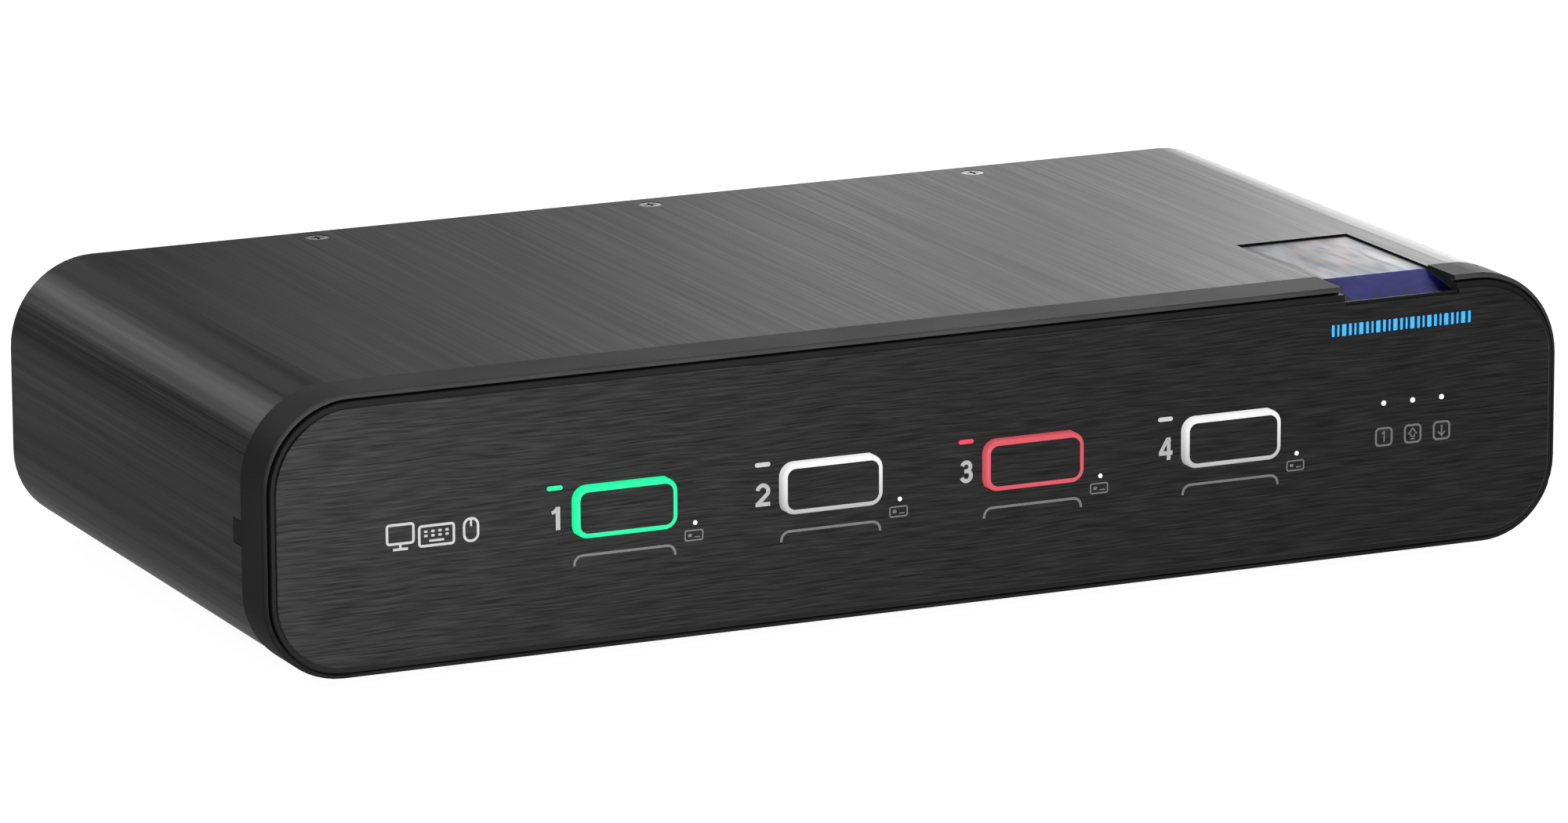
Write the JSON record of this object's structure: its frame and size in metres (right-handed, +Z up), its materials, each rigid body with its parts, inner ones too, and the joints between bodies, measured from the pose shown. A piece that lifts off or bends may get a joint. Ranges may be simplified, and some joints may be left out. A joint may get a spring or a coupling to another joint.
{
  "type": "kvm switch",
  "caption": "Desktop keyboard, video and mouse switch: rounded brushed metal sleeve, dark front panel with lit push buttons and rear sockets.",
  "frame": {"origin": "on the surface it stands on, under the middle of the whole box", "axes": "+X to the right seen from the front, +Y towards the rear sockets, +Z up"},
  "size_m": [0.33, 0.17, 0.0676],
  "materials": {
    "sleeve_metal": "dark anodised, brushed front to back",
    "bezel_plastic": "fine matt texture",
    "facing": "black anodised, brushed sideways",
    "foil": "holographic foil",
    "rear_steel": "fine black powder coat",
    "tray_steel": "zinc plated",
    "black_screws": "black zinc",
    "green_lens": "lit translucent",
    "white_lens": "lit translucent",
    "red_lens": "lit translucent",
    "inner_plastic": "moulded",
    "circuit_board": "solder mask",
    "ribbon": "flat cable",
    "heat_sink_metal": "extruded",
    "cell_metal": "polished",
    "socket_metal": "nickel plated",
    "jack_plastic": "moulded",
    "foot_rubber": "moulded"
  },
  "bodies": {
    "housing": {"audio_jacks": "jack_plastic", "backup_battery": "cell_metal", "board_connectors": "inner_plastic", "board_screws": "tray_steel", "bottom_screws": "black_screws", "capacitors": "heat_sink_metal", "chassis_tray": "tray_steel", "chips": "inner_plastic", "dc_jack": "inner_plastic", "foot_1": "foot_rubber", "foot_2": "foot_rubber", "foot_3": "foot_rubber", "foot_4": "foot_rubber", "front_bezel": "bezel_plastic", "front_board": "circuit_board", "front_overlay": "facing", "front_panel": "bezel_plastic", "heat_sink": "heat_sink_metal", "main_board": "circuit_board", "panel_screws": "tray_steel", "port_light_1": "green_lens", "port_light_2": "white_lens", "port_light_3": "red_lens", "port_light_4": "white_lens", "rear_panel": "rear_steel", "remote_jack": "inner_plastic", "ribbon_cable": "ribbon", "ribbon_headers": "inner_plastic", "round_light_pipes": "white_lens", "sleeve": "sleeve_metal", "spacers": "tray_steel", "standoffs": "tray_steel", "status_leds": "white_lens", "switch_housings": "inner_plastic", "tamper_label": "foil", "top_screws": "black_screws", "usb_a_inserts": "inner_plastic", "usb_a_shells": "socket_metal", "usb_b_inserts": "inner_plastic", "usb_b_shells": "socket_metal", "video_board": "circuit_board", "video_inserts": "inner_plastic", "video_shells": "socket_metal"},
    "button_1": {"button_cap_1": "green_lens", "button_face_1": "facing", "button_plunger_1": "inner_plastic", "switch_stem_1": "inner_plastic"},
    "button_2": {"button_cap_2": "white_lens", "button_face_2": "facing", "button_plunger_2": "inner_plastic", "switch_stem_2": "inner_plastic"},
    "button_3": {"button_cap_3": "red_lens", "button_face_3": "facing", "button_plunger_3": "inner_plastic", "switch_stem_3": "inner_plastic"},
    "button_4": {"button_cap_4": "white_lens", "button_face_4": "facing", "button_plunger_4": "inner_plastic", "switch_stem_4": "inner_plastic"}
  },
  "joints": [
    {"name": "button_1_press", "type": "slide", "parent": "housing", "child": "button_1", "axis": [0, 1, 0], "range_m": [0, 0.001], "stiffness_N_per_m": 1500, "springref_m": -0.0005},
    {"name": "button_2_press", "type": "slide", "parent": "housing", "child": "button_2", "axis": [0, 1, 0], "range_m": [0, 0.001], "stiffness_N_per_m": 1500, "springref_m": -0.0005},
    {"name": "button_3_press", "type": "slide", "parent": "housing", "child": "button_3", "axis": [0, 1, 0], "range_m": [0, 0.001], "stiffness_N_per_m": 1500, "springref_m": -0.0005},
    {"name": "button_4_press", "type": "slide", "parent": "housing", "child": "button_4", "axis": [0, 1, 0], "range_m": [0, 0.001], "stiffness_N_per_m": 1500, "springref_m": -0.0005}
  ]
}
